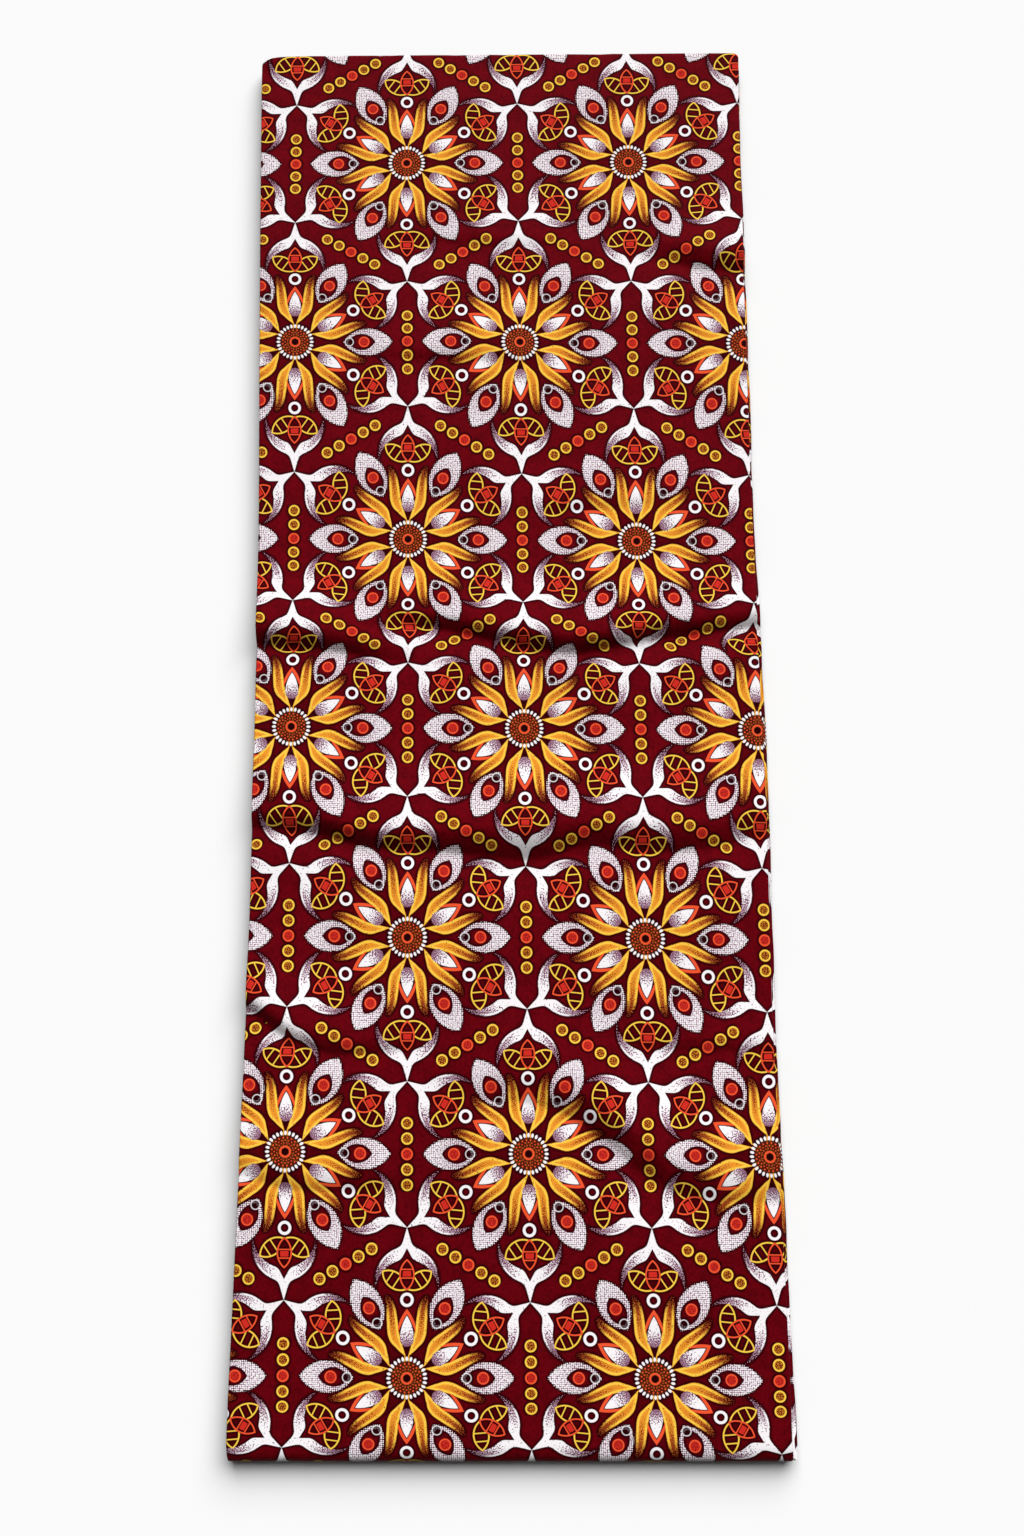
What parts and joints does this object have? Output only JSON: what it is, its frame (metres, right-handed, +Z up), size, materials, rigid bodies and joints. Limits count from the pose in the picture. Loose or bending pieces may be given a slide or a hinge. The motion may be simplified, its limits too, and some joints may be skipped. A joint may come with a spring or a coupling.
{
  "type": "folded length of shweshwe fabric",
  "caption": "Folded length of printed cotton cloth lying flat, its outer strip wrapped round the near end over layered inner folds.",
  "frame": {"origin": "middle of the underside's bounding box, on the surface that the cloth rests on", "axes": "+X across the cloth, to the right when seen from the near end; +Y along the cloth, from the rounded near end to the far end; +Z up"},
  "size_m": [0.3094, 0.8464, 0.018],
  "materials": {
    "printed_cotton_outer": "starched plain-weave cotton, printed on a maroon ground, with a slight sheen",
    "printed_cotton_inner": "the same cloth seen at its folded edges, matt and shaded"
  },
  "bodies": {
    "root": {"outer_strip": "printed_cotton_outer", "inner_strips": "printed_cotton_inner"}
  },
  "joints": []
}
